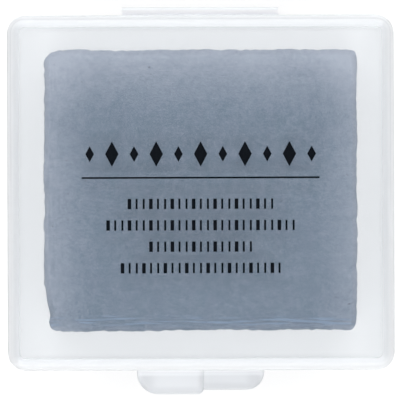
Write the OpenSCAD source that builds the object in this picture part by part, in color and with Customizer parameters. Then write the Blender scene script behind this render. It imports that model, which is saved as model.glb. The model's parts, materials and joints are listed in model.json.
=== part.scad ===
// Kneaded eraser in its hinged storage case.
//
// A square block of kneaded eraser lies on the floor of a thin moulded case.
// The case is two equal shells, a base and a lid, that meet on a parting plane
// at half the height. A folded strap at the back is the hinge, and two half
// tabs side by side at the front part the shells under a thumb.
//
// Frame: millimetres, +Z up. The origin is the centre of the case's underside,
// the hinge is towards +Y and the tabs are towards -Y.

/* [Eraser] */
// Width of the eraser block, left to right
eraser_w = 39.9; // [30:0.1:60]
// Depth of the eraser block, front to back
eraser_d = 35.9; // [30:0.1:60]
// Thickness of the eraser block
eraser_h = 10.3; // [7:0.1:16]
// Radius of the block's upright corners
eraser_corner_r = 1.1; // [0.6:0.1:2.5]
// Radius along the block's top and bottom edges
eraser_edge_r = 0.9; // [0.4:0.1:2]

/* [Space round the eraser] */
// Space between the block and each side wall, at the parting plane
side_space = 3.75; // [1:0.05:8]
// Space between the block and the front wall, at the parting plane
front_space = 4.1; // [1:0.05:8]
// Space between the block and the back wall, at the parting plane
back_space = 3.4; // [1:0.05:8]
// Space between the block and the underside of the lid
top_space = 0.5; // [0.2:0.05:3]

/* [Case] */
// Thickness of the shells, the same in floor, lid and walls
wall = 0.9; // [0.8:0.05:1.2]
// Outer radius of the case's upright corners
corner_r = 2.4; // [2.2:0.1:5]
// Outer radius along the edges of the floor and of the lid's top
edge_r = 1.3; // [1:0.05:1.6]
// How far a wall leans in between the parting plane and the floor or lid
lean = 0.25; // [0:0.05:0.35]

/* [Ribs] */
// Thickness of the three ribs that keep the block in the middle
rib_t = 0.35; // [0.3:0.05:0.8]
// Height of the ribs above the floor
rib_h = 1.6; // [0.6:0.1:3]
// Gap between each rib and the block
rib_gap = 0.25; // [0.1:0.05:0.6]

/* [Closure] */
// Height of the base's lip above the parting plane
lip_h = 1.2; // [0.6:0.1:2]
// Thickness of the lip
lip_t = 0.42; // [0.3:0.02:0.44]
// Gap between the lip and the lid's rim beside it
lip_gap = 0.08; // [0.05:0.01:0.12]
// Gap between the top of the lip and the lid's wall above it
lip_top_gap = 0.15; // [0.05:0.05:0.4]

/* [Hinge] */
// Width of the hinge strap, left to right
hinge_w = 19.9; // [8:0.1:30]
// Distance from the case's back to the fold line
hinge_reach = 0.8; // [0.5:0.05:2]
// Thickness of each leaf of the strap
leaf_t = 0.45; // [0.3:0.05:0.8]
// Radius of the film rolled along the fold line
fold_r = 0.22; // [0.15:0.01:0.3]
// Running gap between the two leaves, and round the fold
fold_gap = 0.03; // [0.02:0.01:0.06]

/* [Tabs] */
// Thickness of the tabs
tab_t = 1.3; // [0.8:0.1:2]
// Distance from the middle of the case to the outer end of the lid's half tab
lid_tab_w = 8.2; // [5:0.1:14]
// How far the lid's half tab stands out from the front
lid_tab_reach = 3; // [1.5:0.1:6]
// Radius of the outer corner of the lid's half tab
lid_tab_r = 2.8; // [0.8:0.1:5]
// Distance from the middle of the case to the outer end of the base's half tab
base_tab_w = 8; // [5:0.1:14]
// How far the base's half tab stands out from the front
base_tab_reach = 2.5; // [1.5:0.1:6]
// Radius of the outer corner of the base's half tab
base_tab_r = 2.3; // [0.8:0.1:5]
// Radius of each half tab's corner beside the other half tab
tab_inner_r = 0.4; // [0.2:0.1:0.8]
// Gap between the two half tabs
tab_gap = 0.06; // [0.04:0.01:0.3]

/* [Hidden] */
$fn = 96;
// Straight pieces that stand for a quarter turn of an edge radius
arc_steps = 8;

// The closed case, sized round the eraser
case_w = eraser_w + 2 * (side_space + wall);
case_d = eraser_d + front_space + back_space + 2 * wall;
case_h = eraser_h + top_space + 2 * wall;
shell_h = case_h / 2;
parting_z = shell_h;
eraser_y = (front_space - back_space) / 2;
fold_y = case_d / 2 + hinge_reach;

// The shells' upright section. Distances run outwards from the axis of a
// corner's radius, and heights from the outer face of the floor or lid.
lean_angle = atan(lean / shell_h);
inner_edge_r = max(edge_r - wall, 0.1);
lip_outer = corner_r - wall + lip_t;
rebate_outer = lip_outer + lip_gap;
skirt_t = corner_r - rebate_outer;
rebate_z = shell_h - lip_h - lip_top_gap;
lip_lead = lip_t / 3;

// How far tabs, leaves and ribs are sunk into the wall that carries them
root = 0.75 * skirt_t;

// Centre of an edge radius that touches the plane at height z and a wall that
// leans in by lean_angle and reaches distance rim at height shell_h.
function edge_centre(rim, z, r) =
    [rim - (r + sin(lean_angle) * (shell_h - z - r)) / cos(lean_angle), z + r];

// Points round that edge radius, from the plane to the wall.
function edge_arc(rim, z, r) = [
    for (i = [0:arc_steps])
        let (a = -90 + i * (90 - lean_angle) / arc_steps)
        edge_centre(rim, z, r) + r * [cos(a), sin(a)]
];

// The same points from the wall to the plane.
function edge_arc_back(rim, z, r) =
    let (arc = edge_arc(rim, z, r)) [for (i = [arc_steps:-1:0]) arc[i]];

// Distance of the wall's inner face at height z.
function inner_face(z) = corner_r - wall - (shell_h - z) * tan(lean_angle);

outer_path = concat([[0, 0]], edge_arc(corner_r, 0, edge_r), [[corner_r, shell_h]]);
inner_path = concat(edge_arc_back(corner_r - wall, wall, inner_edge_r), [[0, wall]]);

base_section = concat(
    outer_path,
    [
        [lip_outer, shell_h],
        [lip_outer, shell_h + lip_h - lip_lead],
        [lip_outer - lip_lead, shell_h + lip_h],
        [corner_r - wall, shell_h + lip_h],
        [corner_r - wall, shell_h]
    ],
    inner_path
);

lid_section = concat(
    outer_path,
    [
        [rebate_outer, shell_h],
        [rebate_outer, rebate_z],
        [inner_face(rebate_z), rebate_z]
    ],
    inner_path
);

// A shell with its open side up: the section swept round the plan, with a
// quarter turn at each corner, and a flat middle.
module shell(section) {
    flat_w = case_w - 2 * corner_r;
    flat_d = case_d - 2 * corner_r;
    translate([-flat_w / 2, -flat_d / 2, 0]) cube([flat_w, flat_d, wall]);
    for (side = [0, 1]) rotate([0, 0, 180 * side]) {
        // A side wall and an end wall
        translate([flat_w / 2, flat_d / 2, 0]) rotate([90, 0, 0])
            linear_extrude(flat_d) polygon(section);
        translate([-flat_w / 2, flat_d / 2, 0]) rotate([90, 0, 90])
            linear_extrude(flat_w) polygon(section);
        // The corners at the ends of the end wall
        translate([flat_w / 2, flat_d / 2, 0])
            rotate_extrude(angle = 90) polygon(section);
        translate([-flat_w / 2, flat_d / 2, 0]) rotate([0, 0, 90])
            rotate_extrude(angle = 90) polygon(section);
    }
}

// One half tab, lying on z = 0 in front of the case, between the middle of the
// case and distance w to the right of it.
module half_tab(w, reach, outer_r) {
    near = tab_gap / 2;
    front = -case_d / 2 - reach;
    depth = reach + root;
    linear_extrude(tab_t) intersection() {
        translate([near, front]) square([w - near, depth]);
        union() {
            translate([near, front + tab_inner_r]) square([w - near - outer_r, depth]);
            translate([near + tab_inner_r, front])
                square([w - near - tab_inner_r - outer_r, depth]);
            translate([near, front + outer_r]) square([w - near, depth]);
            translate([near + tab_inner_r, front + tab_inner_r]) circle(tab_inner_r);
            translate([w - outer_r, front + outer_r]) circle(outer_r);
        }
    }
}

// One leaf of the hinge strap, from inside the back wall out to the fold line,
// lying on z = 0.
module leaf() {
    translate([-hinge_w / 2, case_d / 2 - root, 0])
        cube([hinge_w, hinge_reach + root - fold_gap / 2, leaf_t - fold_gap / 2]);
}

// A round bar of radius r along the fold line.
module fold_bar(r, length) {
    translate([-length / 2, fold_y, parting_z]) rotate([0, 90, 0])
        cylinder(h = length, r = r);
}

// A low upright rib on the floor along +X, from distance start out into the
// wall whose inner face is at distance stop.
module rib(start, stop) {
    translate([start, -rib_t / 2, wall - root])
        cube([stop + root - start, rib_t, rib_h + root]);
}

// The lower shell with its lip, its ribs, its leaf of the strap and the rolled
// film along the fold, and the right half tab under the parting plane.
module case_base() color([0.90, 0.93, 0.96, 0.45]) {
    shell(base_section);
    for (side = [0, 1]) mirror([side, 0, 0])
        rib(eraser_w / 2 + rib_gap, case_w / 2 - wall);
    rotate([0, 0, 90])
        rib(eraser_y + eraser_d / 2 + rib_gap, case_d / 2 - wall);
    translate([0, 0, parting_z - leaf_t]) leaf();
    fold_bar(fold_r, hinge_w);
    translate([0, 0, parting_z - tab_t])
        half_tab(base_tab_w, base_tab_reach, base_tab_r);
}

// The upper shell, turned over to close on the base, with its leaf cut round
// the fold and the left half tab over the parting plane.
module case_lid() color([0.90, 0.93, 0.96, 0.45]) {
    translate([0, 0, case_h]) mirror([0, 0, 1]) shell(lid_section);
    difference() {
        translate([0, 0, parting_z + fold_gap / 2]) leaf();
        fold_bar(fold_r + fold_gap, hinge_w + 1);
    }
    translate([0, 0, parting_z]) mirror([1, 0, 0])
        half_tab(lid_tab_w, lid_tab_reach, lid_tab_r);
}

// A quarter of the block's upright section at a corner, from mid-height up.
module block_section() {
    square([eraser_corner_r - eraser_edge_r, eraser_h / 2]);
    square([eraser_corner_r, eraser_h / 2 - eraser_edge_r]);
    intersection() {
        translate([eraser_corner_r - eraser_edge_r, eraser_h / 2 - eraser_edge_r])
            circle(eraser_edge_r);
        square([eraser_corner_r, eraser_h / 2]);
    }
}

// The upper half of the block, standing on its middle plane.
module half_block() {
    flat_w = eraser_w - 2 * eraser_corner_r;
    flat_d = eraser_d - 2 * eraser_corner_r;
    translate([-flat_w / 2, -flat_d / 2, 0]) cube([flat_w, flat_d, eraser_h / 2]);
    for (side = [0, 1]) rotate([0, 0, 180 * side]) {
        translate([flat_w / 2, flat_d / 2, 0]) rotate([90, 0, 0])
            linear_extrude(flat_d) block_section();
        translate([-flat_w / 2, flat_d / 2, 0]) rotate([90, 0, 90])
            linear_extrude(flat_w) block_section();
        translate([flat_w / 2, flat_d / 2, 0])
            rotate_extrude(angle = 90) block_section();
        translate([-flat_w / 2, flat_d / 2, 0]) rotate([0, 0, 90])
            rotate_extrude(angle = 90) block_section();
    }
}

// The block of kneaded eraser, lying on the floor of the base.
module eraser() color([0.51, 0.56, 0.62]) {
    translate([0, eraser_y, wall + eraser_h / 2]) {
        half_block();
        mirror([0, 0, 1]) half_block();
    }
}

case_base();
case_lid();
eraser();
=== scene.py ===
"""A kneaded eraser in its hinged, translucent storage case, seen straight from above."""

import json
import math

import bmesh
import bpy
from mathutils import Matrix, Vector, noise


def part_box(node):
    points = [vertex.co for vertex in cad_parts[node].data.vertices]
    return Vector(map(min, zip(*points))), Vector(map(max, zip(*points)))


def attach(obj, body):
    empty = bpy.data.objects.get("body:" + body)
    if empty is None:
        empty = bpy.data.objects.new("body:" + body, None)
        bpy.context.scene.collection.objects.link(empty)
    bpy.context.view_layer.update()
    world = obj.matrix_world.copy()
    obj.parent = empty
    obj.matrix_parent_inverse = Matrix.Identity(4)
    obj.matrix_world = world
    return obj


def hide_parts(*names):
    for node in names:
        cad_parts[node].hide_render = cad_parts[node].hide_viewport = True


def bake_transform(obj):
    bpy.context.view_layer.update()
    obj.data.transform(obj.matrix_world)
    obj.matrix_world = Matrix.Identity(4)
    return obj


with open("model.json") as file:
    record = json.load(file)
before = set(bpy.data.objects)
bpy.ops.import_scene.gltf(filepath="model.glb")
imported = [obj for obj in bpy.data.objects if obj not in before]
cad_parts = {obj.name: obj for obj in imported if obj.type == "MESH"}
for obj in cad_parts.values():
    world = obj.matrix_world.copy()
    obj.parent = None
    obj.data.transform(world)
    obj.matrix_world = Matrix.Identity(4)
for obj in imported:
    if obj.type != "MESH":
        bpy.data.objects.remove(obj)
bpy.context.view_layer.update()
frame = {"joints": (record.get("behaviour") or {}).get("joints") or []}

# ---------------------------------------------------------------------------
# Case base. The lower half of the case, a shallow tray injection-moulded in
# natural polypropylene, with a lip that stands up inside the lid's rim, three
# ribs that keep the eraser in the middle, and the right half tab in front.
# ---------------------------------------------------------------------------

MM = 0.001
hinge = frame["joints"][0]
base_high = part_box("case_base")[1]
putty_low, putty_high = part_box("eraser")
fold_y, parting = hinge["pos_m"][1:]

strap_reach = 0.8 * MM
half_width = base_high.x
half_depth = fold_y - strap_reach
wall = putty_low.z
corner_radius = 2.4 * MM
edge_radius = 1.3 * MM
inner_edge_radius = edge_radius - wall
lean = math.atan(0.25 * MM / parting)
corner_steps = 12
flat_border = 0.25 * MM
softening = 0.05 * MM
crisp_angle = math.radians(38)

lip_height = base_high.z - parting
lip_thickness = 0.42 * MM
lip_chamfer = lip_thickness / 3
root = 0.3 * MM
rib_gap = 0.25 * MM
rib_height = 1.6 * MM
rib_half = 0.175 * MM

tab_thickness = 1.3 * MM
tab_lap = 0.3 * MM
tab_inner_radius = 0.8 * MM
tab_rim_radius = 0.55 * MM


def edge_arc(rim, height, radius, steps=12):
    """Section points round an edge radius, from the flat at this height to a leaning wall."""
    reach = radius + math.sin(lean) * (parting - height - radius)
    out, up = rim - reach / math.cos(lean), height + radius
    turn = math.pi / 2 - lean
    angles = [turn * step / steps - math.pi / 2 for step in range(steps + 1)]
    return [(out + radius * math.cos(a), up + radius * math.sin(a)) for a in angles]


def sweep_tray(section):
    """A tray with its open side up: a section carried round the rounded plan, its flats filled."""
    bm = bmesh.new()
    axis_x, axis_y = half_width - corner_radius, half_depth - corner_radius
    verts = [bm.verts.new((axis_x + out, -axis_y, z)) for out, z in section]
    edges = [bm.edges.new(pair) for pair in zip(verts, verts[1:])]
    runs = [(0, 1), (-1, 0), (0, -1), (1, 0)]
    axes = [(1, 1), (-1, 1), (-1, -1), (1, -1)]
    for (run_x, run_y), (side_x, side_y) in zip(runs, axes):
        made = bmesh.ops.extrude_edge_only(bm, edges=edges)["geom"]
        moved = [item for item in made if isinstance(item, bmesh.types.BMVert)]
        bmesh.ops.translate(bm, verts=moved, vec=(2 * axis_x * run_x, 2 * axis_y * run_y, 0))
        turned = bmesh.ops.spin(
            bm,
            geom=[item for item in made if not isinstance(item, bmesh.types.BMFace)],
            cent=(side_x * axis_x, side_y * axis_y, 0),
            axis=(0, 0, 1),
            angle=math.pi / 2,
            steps=corner_steps,
        )["geom_last"]
        edges = [item for item in turned if isinstance(item, bmesh.types.BMEdge)]
    bmesh.ops.remove_doubles(bm, verts=bm.verts[:], dist=0.001 * MM)
    open_edges = [edge for edge in bm.edges if edge.is_boundary]
    flats = bmesh.ops.holes_fill(bm, edges=open_edges, sides=0)["faces"]
    bmesh.ops.recalc_face_normals(bm, faces=bm.faces[:])
    bmesh.ops.inset_individual(bm, faces=flats, thickness=flat_border, use_even_offset=True)
    sharp = [edge for edge in bm.edges if edge.calc_face_angle(0) > math.radians(30)]
    soften(bm, sharp, softening)
    return bm


def soften(bm, edges, radius, segments=2):
    """Rounds edges, as a mould leaves them."""
    bmesh.ops.bevel(
        bm,
        geom=edges,
        offset=radius,
        offset_type="OFFSET",
        affect="EDGES",
        segments=segments,
        profile=0.5,
        material=-1,
        clamp_overlap=True,
    )


def block(low, high):
    """A bmesh box between two corners."""
    bm = bmesh.new()
    bmesh.ops.create_cube(bm, size=1)
    middle = [(a + b) / 2 for a, b in zip(low, high)]
    bmesh.ops.scale(bm, verts=bm.verts, vec=[b - a for a, b in zip(low, high)])
    bmesh.ops.translate(bm, verts=bm.verts, vec=middle)
    return bm


def half_tab(side, length, reach, outer_radius, bottom):
    """A thumb tab on one side of the front's middle. The upper one laps a little over the lower."""
    front, back = -half_depth - reach, -half_depth + root
    bm = block((-tab_lap, front, bottom), (length, back, bottom + tab_thickness))
    upright = [e for e in bm.edges if abs(e.verts[0].co.z - e.verts[1].co.z) > tab_thickness / 2]
    at_front = [e for e in upright if e.verts[0].co.y < -half_depth]
    outer = [e for e in at_front if e.verts[0].co.x > length / 2]
    inner = [e for e in at_front if e.verts[0].co.x < length / 2]
    soften(bm, outer, outer_radius, segments=14)
    soften(bm, inner, tab_inner_radius, segments=10)
    rims = [
        e for e in bm.edges
        if abs(e.verts[0].co.z - e.verts[1].co.z) < softening
        and min(v.co.y for v in e.verts) < -half_depth
        and e.calc_face_angle(0) > math.radians(60)
    ]
    soften(bm, rims, tab_rim_radius, segments=8)
    if side < 0:
        bmesh.ops.scale(bm, verts=bm.verts, vec=(-1, 1, 1))
        bmesh.ops.reverse_faces(bm, faces=bm.faces[:])
    return bm


def rib(start, stop, turn):
    """A low rib on the floor, from beside the eraser out into a wall, turned about the middle."""
    bm = block((start, -rib_half, wall - root), (stop + root, rib_half, wall + rib_height))
    bmesh.ops.rotate(bm, verts=bm.verts, matrix=Matrix.Rotation(turn, 3, "Z"))
    return bm


def shade_crisply(mesh):
    """Smooth shading whose corners stay sharp."""
    mesh.shade_smooth()
    mesh.set_sharp_from_angle(angle=crisp_angle)


def make_object(bm, name):
    """Turns a bmesh into a shaded object in the scene."""
    mesh = bpy.data.meshes.new(name)
    bm.to_mesh(mesh)
    bm.free()
    shade_crisply(mesh)
    made = bpy.data.objects.new(name, mesh)
    bpy.context.scene.collection.objects.link(made)
    return made


def fuse(body_bm, other_bms, name):
    """One moulding out of a body and the tabs and ribs that grow out of it."""
    body = make_object(body_bm, name)
    others = [make_object(bm, f"{name}_part") for bm in other_bms]
    for other in others:
        union = body.modifiers.new("union", "BOOLEAN")
        union.operation = "UNION"
        union.solver = "EXACT"
        union.object = other
    graph = bpy.context.evaluated_depsgraph_get()
    mesh = bpy.data.meshes.new_from_object(body.evaluated_get(graph))
    body.modifiers.clear()
    body.data = mesh
    shade_crisply(mesh)
    for other in others:
        bpy.data.objects.remove(other)
    return body


outer_path = edge_arc(corner_radius, 0, edge_radius) + [(corner_radius, parting)]
inner_path = edge_arc(corner_radius - wall, wall, inner_edge_radius, steps=6)[::-1]
lip_inner = corner_radius - wall
lip_outer = lip_inner + lip_thickness
lip_top = parting + lip_height
lip_path = [
    (lip_outer, parting),
    (lip_outer, lip_top - lip_chamfer),
    (lip_outer - lip_chamfer, lip_top),
    (lip_inner, lip_top),
    (lip_inner, parting),
]
right_tab = {"length": 8.0 * MM, "reach": 2.5 * MM, "outer_radius": 2.3 * MM}
base_parts = [
    half_tab(side=1, bottom=parting - tab_thickness, **right_tab),
    rib(putty_high.x + rib_gap, half_width - wall, 0),
    rib(putty_high.x + rib_gap, half_width - wall, math.pi),
    rib(putty_high.y + rib_gap, half_depth - wall, math.pi / 2),
]
case_base = fuse(sweep_tray(outer_path + lip_path + inner_path), base_parts, "tray")


class Signal:
    """A node's output, so that shader maths reads as plain expressions."""

    def __init__(self, socket):
        self.socket = socket

    def math(self, operation, *values):
        """A Math node in this output's own tree, fed with these values."""
        node = self.socket.id_data.nodes.new("ShaderNodeMath")
        node.operation = operation
        for entry, value in zip(node.inputs, values):
            feed(entry, value)
        return Signal(node.outputs[0])

    def __add__(self, other):
        return self.math("ADD", self, other)

    def __sub__(self, other):
        return self.math("SUBTRACT", self, other)

    def __mul__(self, other):
        return self.math("MULTIPLY", self, other)

    def __pow__(self, other):
        return self.math("POWER", self, other)

    def __rsub__(self, other):
        return self.math("SUBTRACT", other, self)

    def __abs__(self):
        return self.math("ABSOLUTE", self)

    __radd__ = __add__
    __rmul__ = __mul__


def feed(entry, value):
    """Sets a socket to a value, or links a signal to it."""
    if isinstance(value, Signal):
        entry.id_data.links.new(value.socket, entry)
    else:
        entry.default_value = value


class Finish:
    """The nodes of a material or of the world, and the one way they are made."""

    def __init__(self, owner):
        self.owner = owner
        owner.use_nodes = True
        self.tree = owner.node_tree
        self.tree.nodes.clear()

    def node(self, kind, settings=None, inputs=None, output=0):
        """Adds a node, sets its settings, then feeds its sockets, and returns one output."""
        made = self.tree.nodes.new(kind)
        for key, value in (settings or {}).items():
            setattr(made, key, value)
        for key, value in (inputs or {}).items():
            feed(made.inputs[key], value)
        return Signal(made.outputs[output])

    def axes(self):
        """The object's own coordinates, in metres, one signal for each axis."""
        where = self.node("ShaderNodeTexCoord", output="Object")
        return [
            self.node("ShaderNodeSeparateXYZ", inputs={0: where}, output=axis) for axis in "XYZ"
        ]

    def place(self, scale=(1, 1, 1)):
        """The object's own coordinates, in millimetres, stretched by scale."""
        where = self.node("ShaderNodeTexCoord", output="Object")
        return self.node(
            "ShaderNodeMapping", inputs={"Vector": where, "Scale": [s / MM for s in scale]}
        )

    def noise(self, vector, scale, detail=3.0, roughness=0.5):
        """A noise pattern, from 0 to 1, with this many lumps a millimetre."""
        return self.node(
            "ShaderNodeTexNoise",
            inputs={"Vector": vector, "Scale": scale, "Detail": detail, "Roughness": roughness},
        )

    def mix(self, factor, first, second):
        """Blends two colours."""
        return self.node(
            "ShaderNodeMix", {"data_type": "RGBA"}, {0: factor, 6: first, 7: second}, output=2
        )

    def mix_shader(self, factor, first, second):
        """Blends two shaders."""
        return self.node("ShaderNodeMixShader", inputs={0: factor, 1: first, 2: second})

    def bump(self, height, distance):
        """A bump normal, with the height's full range standing for distance."""
        return self.node("ShaderNodeBump", inputs={"Height": height, "Distance": distance})

    def finish(self, shader, kind="ShaderNodeOutputMaterial"):
        """Sends this shader to the surface, and returns what it finishes."""
        surface = self.tree.nodes.new(kind)
        feed(surface.inputs["Surface"], shader)
        return self.owner


def smooth_ramp(finish, distance, zero_at, one_at):
    """Runs smoothly from 0 to 1 between two distances in millimetres."""
    return finish.node(
        "ShaderNodeMapRange",
        {"interpolation_type": "SMOOTHSTEP"},
        {"Value": distance, "From Min": zero_at * MM, "From Max": one_at * MM},
    )


def depth_inside(past_x, past_y, radius):
    """How far inside a rounded outline a place is, seen from above."""
    out_x, out_y = past_x.math("MAXIMUM", past_x, 0), past_y.math("MAXIMUM", past_y, 0)
    square = out_x * out_x + out_y * out_y
    nearer = past_x.math("MAXIMUM", past_x, past_y)
    return radius - square.math("SQRT", square) - nearer.math("MINIMUM", nearer, 0)


clear_tints = (0.965, 0.975, 0.985, 1), (0.975, 0.985, 0.995, 1)
side_shade_tint = (0.935, 0.946, 0.957, 1)
root_shade_tint = (0.915, 0.927, 0.938, 1)
film_tint_and_root_shade = (0.998, 0.996, 1.0, 1), (0.940, 0.945, 0.974, 1)
wall_milk = (0.83, 0.85, 0.872, 1)
root_shade_milk = (0.71, 0.73, 0.755, 1)
rim_highlight_milk = (0.93, 0.94, 0.955, 1)
lip_shadow_milk = (0.55, 0.57, 0.60, 1)
tab_milk_and_joint_shade = (0.70, 0.715, 0.74, 1), (0.56, 0.57, 0.58, 1)
tab_side_shade_milk = (0.60, 0.615, 0.64, 1)
tab_root_highlight_milk = (0.86, 0.875, 0.90, 1)
lamp_tint = (0.97, 0.975, 0.98, 1)
plastic_ior = 1.42
flat_blur, flat_grain, rim_blur = 0.10, 0.04, 0.4
milk_blur, milk_grain = 0.40, 0.06
wall_haze, tab_haze, fold_haze = 0.60, 0.55, 0.6
upright_share = 0.5
milk_fade = 0.45
root_depth, root_strength = 1.55 * MM, 0.7
lip_depth, lip_shadow_strength, lip_shadow_at_back = 0.65 * MM, 0.2, 0.5
back_rim_fading = 0.65
joint_strength, tab_root_highlight_strength, tab_edge_highlight_strength = 0.4, 0.8, 0.5
tab_front_squeeze = 2.4


def tab_colour(plastic, x, y, tab):
    """A half tab's milk, with painted shade inside its rounded sides and at the joint between the
    tabs, and painted highlights along its rim and along the wall.
    """
    radius = tab["outer_radius"]
    past_side = abs(x) - (tab["length"] - radius)
    past_front = radius - tab_front_squeeze * (y + (half_depth + tab["reach"]))
    depth = depth_inside(past_side, past_front, radius)
    off_front = -half_depth - y
    # Painted shade at the joint between the two half tabs.
    joint = joint_strength * smooth_ramp(plastic, abs(x), 0.8, 0.1)
    # Painted shade inside the tab's rounded sides.
    side = smooth_ramp(plastic, depth, 2.8, 1.4) * smooth_ramp(plastic, depth, 0.2, 0.9)
    # Painted highlight: a pale band along the tab's root at the wall.
    root_highlight_band = smooth_ramp(plastic, off_front, 0.10, 0.35) * smooth_ramp(plastic, off_front, 0.80, 0.45)
    # Painted highlight along the tab's rim.
    tab_edge_highlight = smooth_ramp(plastic, depth, 0.6, 0.15)
    sided = plastic.mix(side, plastic.mix(joint, *tab_milk_and_joint_shade), tab_side_shade_milk)
    rooted = plastic.mix(tab_root_highlight_strength * root_highlight_band, sided, tab_root_highlight_milk)
    return plastic.mix(tab_edge_highlight_strength * tab_edge_highlight, rooted, rim_highlight_milk)


def clear_polypropylene(name, haze, rim_width, tab_size):
    """Natural polypropylene: clear with a faint bluish cast, milky along its walls and tabs, with
    painted shade and painted highlights at its sides, rims, lip, strap and tabs.
    """
    plastic = Finish(bpy.data.materials.new(name))
    flow = plastic.noise(plastic.place((0.5, 1, 1)), 0.35, detail=2.0)
    grain = plastic.noise(plastic.place(), 6.0, detail=2.0)
    x, y, z = plastic.axes()
    past_x = abs(x) - (half_width - corner_radius)
    past_y = abs(y) - (half_depth - corner_radius)
    depth = depth_inside(past_x, past_y, corner_radius)
    off_front, off_back = -half_depth - y, y - half_depth
    is_end = smooth_ramp(plastic, past_y - past_x, -0.8, 0.8)
    at_back = smooth_ramp(plastic, y, -5.0, 5.0)
    beside = smooth_ramp(plastic, past_x, -3.0, 1.2)
    not_strap = smooth_ramp(plastic, off_back, 0.02, -0.02)
    tab = smooth_ramp(plastic, off_front, 0.05, 0.30)

    side_wall = smooth_ramp(plastic, depth, rim_width + milk_fade, 0.2)
    end_wall = smooth_ramp(plastic, depth, rim_width + milk_fade, rim_width)
    wall_share = (side_wall + is_end * (end_wall - side_wall)) * not_strap
    bend = smooth_ramp(plastic, abs(z - parting), 4.0, 5.2)
    bent_haze = wall_haze * (upright_share + (1 - upright_share) * bend)
    fold = smooth_ramp(plastic, off_back, 0.55, 0.78)
    milky_places = wall_share * bent_haze * (1 - tab) + tab * tab_haze + fold * fold_haze
    milk = haze + (1 - haze) * milky_places

    # Painted shade: a darker line where the walls rise from the flat, in both the clear and the
    # milky colour.
    root_shade_line = root_strength * smooth_ramp(plastic, abs(depth - root_depth), 0.7, 0.2)
    even = plastic.mix(flow, *clear_tints)
    # Painted shade: the clear plastic is darker towards its left and right sides, where less light
    # falls.
    side_shaded = plastic.mix(beside, even, side_shade_tint)
    moulded = plastic.mix(root_shade_line, side_shaded, root_shade_tint)
    # Painted shade: the hinge film is darker near its root at the back rim.
    film = plastic.mix(smooth_ramp(plastic, off_back, 0.45, 0.15), *film_tint_and_root_shade)
    clear = plastic.node(
        "ShaderNodeBsdfPrincipled",
        inputs={
            "Base Color": plastic.mix(not_strap, film, moulded),
            "Roughness": flat_blur + flat_grain * grain + rim_blur * end_wall,
            "IOR": plastic_ior,
            "Transmission Weight": 1.0,
        },
    )

    # Painted shadow: a dark line where the base's lip stands inside the lid's rim, stronger at the
    # back.
    lip_shadow_share = lip_shadow_strength + (lip_shadow_at_back - lip_shadow_strength) * at_back
    lip_shadow_line = lip_shadow_share * smooth_ramp(plastic, abs(depth - lip_depth), 0.16, 0.0) * (1 - tab)
    # Painted highlight: the milk is paler along the outer rim, less so at the back end.
    rim_highlight = (1 - back_rim_fading * at_back * is_end) * smooth_ramp(plastic, depth, 1.2, 0.6)
    wall_colour = plastic.mix(rim_highlight, plastic.mix(root_shade_line, wall_milk, root_shade_milk), rim_highlight_milk)
    milky_colour = plastic.mix(tab, wall_colour, tab_colour(plastic, x, y, tab_size))
    milky = plastic.node(
        "ShaderNodeBsdfPrincipled",
        inputs={
            "Base Color": plastic.mix(lip_shadow_line, milky_colour, lip_shadow_milk),
            "Roughness": milk_blur + milk_grain * grain,
            "IOR": plastic_ior,
        },
    )

    body = plastic.mix_shader(milk, clear, milky)
    lamps_pass = plastic.node("ShaderNodeBsdfTransparent", inputs={"Color": lamp_tint})
    for ray in ("Is Diffuse Ray", "Is Shadow Ray"):
        is_light = plastic.node("ShaderNodeLightPath", output=ray)
        body = plastic.mix_shader(is_light, body, lamps_pass)
    return plastic.finish(body)


base_plastic = clear_polypropylene(
    "base_polypropylene", haze=0.03, rim_width=0.6, tab_size=right_tab
)
case_base.data.materials.append(base_plastic)
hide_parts("case_base")
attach(case_base, "base")

# ---------------------------------------------------------------------------
# Eraser. A block of soft grey-blue putty, pressed to shape and cut, that lies
# loose on the floor of the base. Its sides wander, its upper edges sag where it
# was handled, and fine creases run along the left side and the front.
# ---------------------------------------------------------------------------

noise.seed_set(5)

putty_pitch = 0.32 * MM
putty_edge_radius = 0.75 * MM
putty_corner_radii = {(-1, 1): 1.8, (1, 1): 1.15, (1, -1): 1.1, (-1, -1): 0.9}
putty_lift = 0.01 * MM
skin = 2.5 * MM
swells_per_metre, tears_per_metre = 190, 1650
lumps_per_metre, ripples_per_metre = 130, 420
lump_size = Vector((0.08, 0.10, 0.10)) * MM
ripple_size = 0.035 * MM
tear_depth = 0.13
cut_depths = {"back": 0.30, "front": 0.20, "left": 0.20, "right": 0.26}
sags = {"back": (0.75, 6.5), "front": (0.18, 2.2), "left": (0.22, 3.0), "right": (0.20, 2.4)}
pull_size, front_pull, left_pull = 0.95 * MM, 7.0 * MM, 5.0 * MM
nub_size, nub_place, nub_reach = 0.30 * MM, 1.0 * MM, 1.2 * MM


def falloff(distance, reach):
    """1 at an edge, falling smoothly to 0 at this distance from it."""
    share = min(max(distance / reach, 0), 1)
    return (1 - share) ** 2 * (1 + 2 * share)


def putty_block():
    """The block cut into small squares, with rounded corners and edges, then kneaded."""
    bm = block(putty_low, putty_high)
    for along in range(3):
        edges = [
            e for e in bm.edges
            if abs(e.verts[0].co[along] - e.verts[1].co[along]) > putty_pitch
        ]
        cuts = round((putty_high[along] - putty_low[along]) / putty_pitch)
        bmesh.ops.subdivide_edges(bm, edges=edges, cuts=cuts, use_grid_fill=True)
    middle = (putty_low + putty_high) / 2
    half = (putty_high - putty_low) / 2
    for vert in bm.verts:
        vert.co = round_corner(vert.co - middle, half)
    round_over(bm, half, putty_edge_radius)
    for vert in bm.verts:
        vert.co = knead(vert.co, half) + middle
        vert.co.z = max(vert.co.z, putty_low.z + putty_lift)
    bmesh.ops.recalc_face_normals(bm, faces=bm.faces[:])
    return bm


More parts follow.
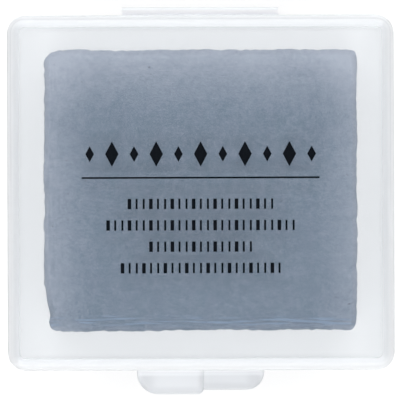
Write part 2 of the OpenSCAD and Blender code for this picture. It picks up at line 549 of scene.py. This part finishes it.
def round_corner(place, half):
    """Draws a point in to the upright corner's radius, where it stands outside that."""
    corner = (1 if place.x > 0 else -1, 1 if place.y > 0 else -1)
    radius = putty_corner_radii[corner] * MM
    core = Vector((
        max(radius - half.x, min(half.x - radius, place.x)),
        max(radius - half.y, min(half.y - radius, place.y)),
        place.z,
    ))
    off = place - core
    return core + off.normalized() * radius if off.length > radius else place


def round_over(bm, half, radius):
    """Rounds the block's top and bottom edges: its outer skin slides in as it nears either face."""
    for vert in bm.verts:
        rise = abs(vert.co.z) - (half.z - radius)
        if rise <= 0:
            continue
        inward = radius - math.sqrt(max(radius ** 2 - rise ** 2, 0))
        for along in range(2):
            limit = half[along] - inward
            vert.co[along] = max(-limit, min(limit, vert.co[along]))


def wander(along, side, depth):
    """How far one side of the block stands in from a straight cut, at a place along it."""
    swell = 0.5 + 0.6 * noise.noise(Vector((along * swells_per_metre, side * 3.7, 0.5)))
    tears = 0.4 + 1.3 * noise.noise(Vector((along * tears_per_metre, side * 5.1, 2.5)))
    return (depth * max(swell, 0) + tear_depth * max(tears, 0)) * MM


def knead(place, half):
    """Moves a point of the clean block to where cutting and handling have left it."""
    moved = place.copy()
    lumps = noise.noise_vector(place * lumps_per_metre + Vector((3, 7, 1)))
    ripples = noise.noise_vector(place * ripples_per_metre + Vector((9, 2, 5)))
    moved += lumps * lump_size + ripples * ripple_size
    inside = {
        "back": half.y - place.y, "front": half.y + place.y,
        "left": half.x + place.x, "right": half.x - place.x,
    }
    pulls = {"back": (0, -1), "front": (0, 1), "left": (1, 0), "right": (-1, 0)}
    for number, (side, pull) in enumerate(pulls.items(), 1):
        along = place.x if pull[0] == 0 else place.y
        shift = wander(along, number, cut_depths[side]) * falloff(inside[side], skin)
        moved.xy += Vector(pull) * shift
    pull_in = falloff(inside["front"], front_pull) * falloff(inside["left"], left_pull)
    from_nub = math.hypot(inside["front"] - nub_place, inside["left"])
    moved.x += pull_size * pull_in - nub_size * falloff(from_nub, nub_reach)
    if place.z > 0:
        sag = sum(
            depth * falloff(inside[side], reach * MM) for side, (depth, reach) in sags.items()
        )
        moved.z -= sag * place.z / half.z * MM
    return moved


def fade(finish, distance, reach, power=1.0):
    """1 at an edge, falling to 0 at this distance from it, ever more slowly for a higher power."""
    share = finish.node(
        "ShaderNodeMapRange", inputs={"Value": distance, "From Min": reach * MM, "From Max": 0}
    )
    return share ** power


slates = (0.102, 0.153, 0.201, 1), (0.127, 0.172, 0.220, 1)
violet_slate = (0.131, 0.163, 0.220, 1)
pale_mottle_and_edge_light = (0.360, 0.394, 0.462, 1)
crease_highlight_blue = (0.215, 0.292, 0.405, 1)
fleck_colour = (0.07, 0.08, 0.11, 1)
crease_depth, crease_highlight_strength = 1.35 * MM, 0.65
fleck_strength = 0.6
putty_relief = 0.12 * MM


def kneaded_putty():
    """Grey-blue putty: dull, softly mottled, with painted light along its edges, strongest at the
    back, and fine creases, the front one with a painted highlight.
    """
    putty = Finish(bpy.data.materials.new("kneaded_putty"))
    place = putty.place()
    x, y, _ = putty.axes()
    clouds = putty.noise(place, 0.22, detail=4.0, roughness=0.6)
    mottle = putty.noise(place, 1.1, detail=5.0, roughness=0.65)
    tinge = putty.noise(putty.place((1, 0.6, 1)), 0.55, detail=3.0)
    grain = putty.noise(putty.place((0.5, 1, 1)), 5.0, detail=2.0, roughness=0.6)
    wrinkles = putty.noise(putty.place((4.0, 0.35, 1)), 1.0, detail=3.0)
    smears = putty.noise(putty.place((0.25, 2.4, 1)), 1.0, detail=4.0, roughness=0.6)
    threads = putty.noise(putty.place((0.22, 3.4, 1)), 1.0, detail=2.0)
    sway = 2.4 * MM * (putty.noise(place, 0.16, detail=2.0) - 0.5)

    from_front, from_back = y - putty_low.y, putty_high.y - y
    from_left, from_right = x - putty_low.x, putty_high.x - x
    # Painted light: the putty is paler towards its back, left, right and front edges, and right at
    # its left and right edges.
    back = fade(putty, from_back + sway, 9.5, 1.7)
    left = fade(putty, from_left + sway * 0.5, 7.0, 1.5)
    right = fade(putty, from_right + sway * 0.5, 6.0, 1.5)
    front = fade(putty, from_front, 1.3)
    side_edge_light = fade(putty, from_left, 1.0) + fade(putty, from_right, 1.0)
    pinched = fade(putty, from_left, 3.0)
    fold = from_front - crease_depth + sway * 0.25
    strands = smooth_ramp(putty, MM * threads, 0.45, 0.62)
    crease = smooth_ramp(putty, abs(fold), 0.9, 0.2) * strands
    # The pale share mixes this painted edge light with the putty's own mottle, grain, smears and
    # wrinkles.
    pale = (
        0.08 + 0.84 * back + 0.50 * left + 0.42 * right + 0.25 * front + 0.30 * side_edge_light
        + 0.60 * (mottle - 0.5) + 0.65 * (grain - 0.5)
        + (0.15 + 0.15 * back + front) * (smears - 0.5)
        + 0.9 * (0.06 + pinched) * (wrinkles - 0.5)
    )
    tinted = putty.mix(tinge, putty.mix(clouds, *slates), violet_slate)
    fleck = smooth_ramp(putty, MM * putty.noise(place, 2.3, detail=0.0), 0.82, 0.86)
    height = 0.5 * mottle + 0.25 * grain + (0.1 + pinched) * wrinkles + (0.15 + crease) * smears
    mottled_and_edge_lit = putty.mix(pale, tinted, pale_mottle_and_edge_light)
    # Painted highlight: a paler blue streak along the front crease.
    crease_highlighted = putty.mix(crease_highlight_strength * crease, mottled_and_edge_lit, crease_highlight_blue)
    body = putty.node(
        "ShaderNodeBsdfPrincipled",
        inputs={
            "Base Color": putty.mix(fleck_strength * fleck, crease_highlighted, fleck_colour),
            "Roughness": 0.62 + 0.2 * mottle,
            "Specular IOR Level": 0.35,
            "Normal": putty.bump(height, putty_relief),
        },
    )
    return putty.finish(body)


eraser = make_object(putty_block(), "putty")
eraser.data.materials.append(kneaded_putty())
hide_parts("eraser")
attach(eraser, "base")

# ---------------------------------------------------------------------------
# Case lid. The upper half of the same moulding, closed down on the base: a tray
# like the base, turned over. Its rim is cut back inside to take the base's lip,
# and it carries the left half tab.
# ---------------------------------------------------------------------------

lid_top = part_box("case_lid")[1].z
lip_gap = 0.08 * MM
lip_top_gap = 0.15 * MM
ink_step = 0.02 * MM

rebate_outer = lip_outer + lip_gap
rebate_height = parting - lip_height - lip_top_gap
inner_wall = lip_inner - (parting - rebate_height) * math.tan(lean)
rim_path = [
    (rebate_outer, parting),
    (rebate_outer, rebate_height),
    (inner_wall, rebate_height),
]
lid_path = edge_arc(corner_radius, ink_step, edge_radius) + [(corner_radius, parting)]
lid_bm = sweep_tray(lid_path + rim_path + inner_path)
bmesh.ops.rotate(lid_bm, verts=lid_bm.verts, matrix=Matrix.Rotation(math.pi, 3, "Y"))
bmesh.ops.translate(lid_bm, verts=lid_bm.verts, vec=(0, 0, lid_top))
left_tab = {"length": 8.2 * MM, "reach": 3.0 * MM, "outer_radius": 2.8 * MM}
case_lid = fuse(lid_bm, [half_tab(side=-1, bottom=parting, **left_tab)], "lid")
lid_plastic = clear_polypropylene(
    "lid_polypropylene", haze=0.012, rim_width=1.4, tab_size=left_tab
)
case_lid.data.materials.append(lid_plastic)
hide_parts("case_lid")
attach(case_lid, "lid")

# ---------------------------------------------------------------------------
# Lid print. Black ink printed on the lid's flat top: a row of plain lozenges, a
# thin rule under it, and rows of short strokes. It names and pictures nothing.
# ---------------------------------------------------------------------------

ink_sink = 1.5 * ink_step
lozenge_pitch = 2.8
lozenge_y = 4.9
small_lozenge, large_lozenge = (1.1, 2.0), (1.7, 3.2)
rule_y, rule_length, rule_width = 1.9, 30.0, 0.22
stroke_counts = (21, 27, 15, 23)
stroke_pitch, row_pitch, first_row_y = 0.9, 2.7, -1.4
thin_stroke, thick_stroke, stroke_height = 0.26, 0.46, 1.3
blacks = (0.003, 0.004, 0.006, 1), (0.006, 0.008, 0.011, 1)


def on_lid(x, y, width, height):
    """Puts a shape one unit across on the lid's top, at this place and size in millimetres."""
    place = Vector((x * MM, y * MM, lid_top - ink_sink))
    return Matrix.LocRotScale(place, None, Vector((width * MM, height * MM, 1)))


def lozenge(bm, x, y, width, height):
    """An inked lozenge: a circle cut to four sides, and stretched."""
    place = on_lid(x, y, width, height)
    bmesh.ops.create_circle(bm, cap_ends=True, segments=4, radius=0.5, matrix=place)


def stroke(bm, x, y, width, height):
    """An inked stroke: a square, stretched."""
    place = on_lid(x, y, width, height)
    bmesh.ops.create_grid(bm, x_segments=1, y_segments=1, size=0.5, matrix=place)


def printing_ink():
    """Black ink, a little uneven, where the film is thin."""
    ink = Finish(bpy.data.materials.new("printing_ink"))
    thin = ink.noise(ink.place(), 3.0)
    body = ink.node(
        "ShaderNodeBsdfPrincipled",
        inputs={
            "Base Color": ink.mix(thin, *blacks),
            "Roughness": 0.14 + 0.08 * thin,
            "Specular IOR Level": 0.2,
        },
    )
    return ink.finish(body)


print_bm = bmesh.new()
for column in range(-5, 6):
    lozenge(
        print_bm, column * lozenge_pitch, lozenge_y,
        *(small_lozenge if column % 2 else large_lozenge),
    )
stroke(print_bm, 0, rule_y, rule_length, rule_width)
for row, count in enumerate(stroke_counts):
    for column in range(count):
        stroke(
            print_bm, (column - (count - 1) / 2) * stroke_pitch, first_row_y - row_pitch * row,
            thin_stroke if column % 3 else thick_stroke, stroke_height,
        )
inked = bmesh.ops.extrude_face_region(print_bm, geom=print_bm.faces[:])["geom"]
raised = [item for item in inked if isinstance(item, bmesh.types.BMVert)]
bmesh.ops.translate(print_bm, verts=raised, vec=(0, 0, ink_sink))
bmesh.ops.recalc_face_normals(print_bm, faces=print_bm.faces[:])
lid_print = make_object(print_bm, "lid_print")
lid_print.data.materials.append(printing_ink())
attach(lid_print, "lid")

# ---------------------------------------------------------------------------
# Hinge strap. A living hinge: a thin film of the same moulding that leaves the
# base's back rim, folds over along the fold line and comes back to the lid's.
# ---------------------------------------------------------------------------

strap_half = 9.95 * MM
film_low, film_high = 0.20 * MM, 0.45 * MM
foot = -strap_reach + 0.02 * MM
fold_outer, fold_inner = 0.215 * MM, 0.03 * MM
fold_steps = 10


def strap_section():
    """The film's section in the plane across the hinge: a long C, open towards the case."""
    angles = [math.pi * step / fold_steps - math.pi / 2 for step in range(fold_steps + 1)]
    outer = [(fold_outer * math.cos(a), film_high * math.sin(a)) for a in angles]
    inner = [(fold_inner * math.cos(a), film_low * math.sin(a)) for a in reversed(angles)]
    return [
        (foot, -film_high), *outer, (foot, film_high),
        (foot, film_low), *inner, (foot, -film_low),
    ]


strap_bm = bmesh.new()
ring = [strap_bm.verts.new((-strap_half, fold_y + y, parting + z)) for y, z in strap_section()]
start_face = strap_bm.faces.new(ring)
strap_made = bmesh.ops.extrude_face_region(strap_bm, geom=[start_face])["geom"]
strap_moved = [item for item in strap_made if isinstance(item, bmesh.types.BMVert)]
bmesh.ops.translate(strap_bm, verts=strap_moved, vec=(2 * strap_half, 0, 0))
bmesh.ops.recalc_face_normals(strap_bm, faces=strap_bm.faces[:])
strap = make_object(strap_bm, "hinge_strap")
strap.data.materials.append(lid_plastic)
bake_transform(strap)

# ---------------------------------------------------------------------------
# Studio. A white table, two broad soft lamps behind and in front of the case,
# a dark card over it, and a long lens looking straight down. None of it is the
# object.
# ---------------------------------------------------------------------------

table_half = 3.0
table_drop = 0.02 * MM
board_grey = (0.36, 0.36, 0.36, 1)
card_radius, card_height = 0.16, 0.95
card_black = (0.02, 0.02, 0.02, 1)
room_light = 0.42


def seen_straight(finish):
    """1 for what the eye sees, straight or through plastic, and 0 for what lights."""
    camera, through = (
        finish.node("ShaderNodeLightPath", output=ray)
        for ray in ("Is Camera Ray", "Is Transmission Ray")
    )
    return camera.math("MAXIMUM", camera, through)


def white_table():
    """A pale table that reads as white to the eye, and keeps the shadows that fall on it."""
    table = Finish(bpy.data.materials.new("white_table"))
    board = table.node("ShaderNodeBsdfDiffuse", inputs={"Color": board_grey})
    where = table.node("ShaderNodeTexCoord", output="Object")
    away = table.node("ShaderNodeVectorMath", {"operation": "LENGTH"}, {0: where}, output="Value")
    glow = 0.68 + 0.25 * smooth_ramp(table, away, 80, 400)
    lit = table.node("ShaderNodeEmission", inputs={"Strength": seen_straight(table) * glow})
    return table.finish(table.node("ShaderNodeAddShader", inputs={0: board, 1: lit}))


def black_card():
    """Card that darkens what the plastic mirrors, and that the eye looks straight through."""
    card = Finish(bpy.data.materials.new("black_card"))
    black = card.node("ShaderNodeBsdfDiffuse", inputs={"Color": card_black})
    nothing = card.node("ShaderNodeBsdfTransparent")
    is_eye = card.node("ShaderNodeLightPath", output="Is Camera Ray")
    return card.finish(card.mix_shader(is_eye, black, nothing))


table_bm = bmesh.new()
bmesh.ops.create_grid(table_bm, x_segments=1, y_segments=1, size=table_half)
bmesh.ops.translate(table_bm, verts=table_bm.verts, vec=(0, 0, -table_drop))
table_top = make_object(table_bm, "table_top")
table_top.data.materials.append(white_table())

card_bm = bmesh.new()
bmesh.ops.create_circle(card_bm, cap_ends=True, segments=48, radius=card_radius)
bmesh.ops.translate(card_bm, verts=card_bm.verts, vec=(0, 0, card_height))
bmesh.ops.reverse_faces(card_bm, faces=card_bm.faces[:])
dark_card = make_object(card_bm, "dark_card")
dark_card.data.materials.append(black_card())


def soft_lamp(name, place, width, depth, power):
    """A rectangular soft lamp aimed at the case."""
    lamp = bpy.data.lights.new(name, "AREA")
    lamp.shape = "RECTANGLE"
    lamp.size, lamp.size_y = width, depth
    lamp.energy = power
    made = bpy.data.objects.new(name, lamp)
    made.location = place
    made.rotation_mode = "QUATERNION"
    made.rotation_quaternion = (-Vector(place)).to_track_quat("-Z", "Y")
    made.visible_glossy = False
    bpy.context.scene.collection.objects.link(made)


soft_lamp("back_lamp", place=(0.0, 0.60, 0.47), width=1.8, depth=0.55, power=8.2)
soft_lamp("front_lamp", place=(0.0, -0.60, 0.47), width=1.8, depth=0.55, power=7.9)

room = Finish(bpy.data.worlds.new("white_room"))
walls = room.node(
    "ShaderNodeBackground",
    inputs={"Color": (1, 1, 1, 1), "Strength": room_light + (1 - room_light) * seen_straight(room)},
)
bpy.context.scene.world = room.finish(walls, "ShaderNodeOutputWorld")

frame_width = 50.9 * MM
camera_data = bpy.data.cameras.new("camera")
camera_data.lens = 500
camera_data.sensor_width = 36
camera_away = frame_width * camera_data.lens / camera_data.sensor_width
camera = bpy.data.objects.new("camera", camera_data)
camera.location = (-0.1 * MM, -0.92 * MM, parting + camera_away)
camera.rotation_euler = (0, 0, math.radians(-0.2))
camera_data.clip_start, camera_data.clip_end = 0.01, 10
bpy.context.scene.collection.objects.link(camera)
bpy.context.scene.camera = camera
bpy.context.scene.view_settings.view_transform = "Standard"

# Light that runs along a clear wall bounces in it many times before it leaves.
most_bounces = 32
bounces = bpy.context.scene.cycles
bounces.max_bounces = most_bounces
bounces.glossy_bounces = most_bounces
bounces.transmission_bounces = most_bounces
bounces.transparent_max_bounces = most_bounces
